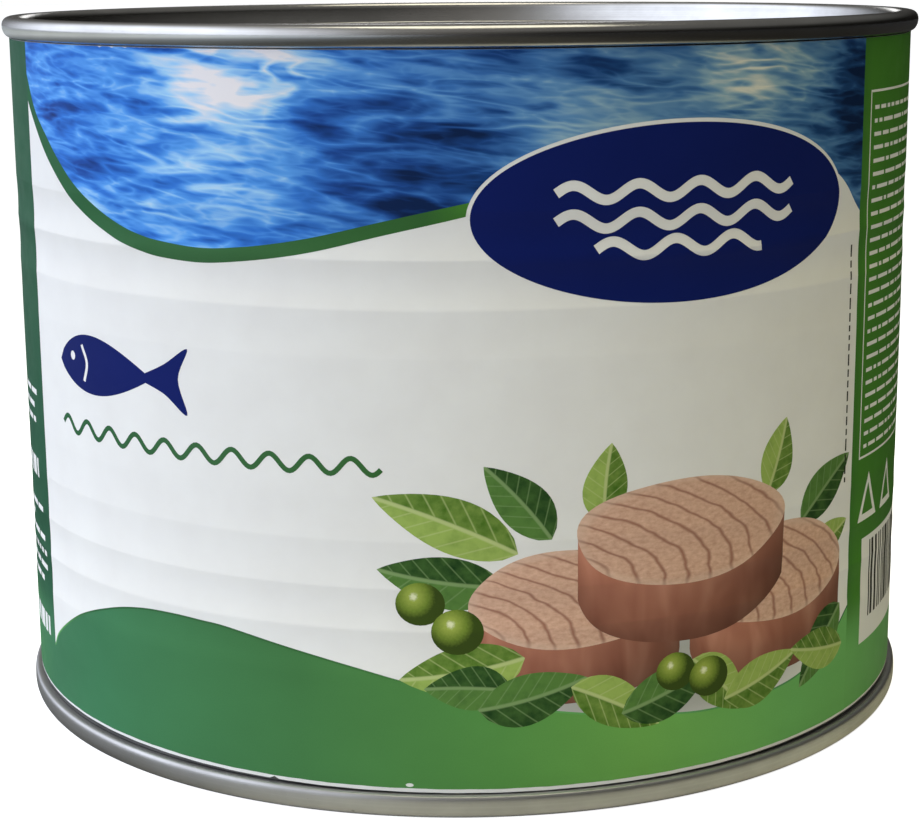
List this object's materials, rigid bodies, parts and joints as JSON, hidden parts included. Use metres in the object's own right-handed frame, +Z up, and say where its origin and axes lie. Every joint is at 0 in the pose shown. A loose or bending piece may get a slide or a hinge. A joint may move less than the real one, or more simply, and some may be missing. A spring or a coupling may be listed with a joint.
{
  "type": "tuna can",
  "caption": "Large shut round food can: straight steel wall with a paper label, and a seamed end with a raised rim and a sunk panel at top and base.",
  "frame": {"origin": "centre of the base, on the surface that the can stands on", "axes": "+Z up along the can's axis, -Y towards the middle of the label's front"},
  "size_m": [0.157, 0.157, 0.1175],
  "materials": {
    "end_steel": "bright tinplate, drawn round the rim, lightly scuffed",
    "wall_steel": "dull tinplate",
    "label_paper": "coated white paper with a soft gloss",
    "print_green": "flat green ink on coated paper",
    "print_sea": "blue water pattern printed on coated paper",
    "print_navy": "deep blue ink on coated paper",
    "print_tuna": "pink and brown inks on coated paper",
    "print_leaf": "leaf greens on coated paper"
  },
  "bodies": {
    "root": {"can_wall": "wall_steel", "label": "label_paper", "top_end": "end_steel", "base_end": "end_steel"}
  },
  "joints": []
}
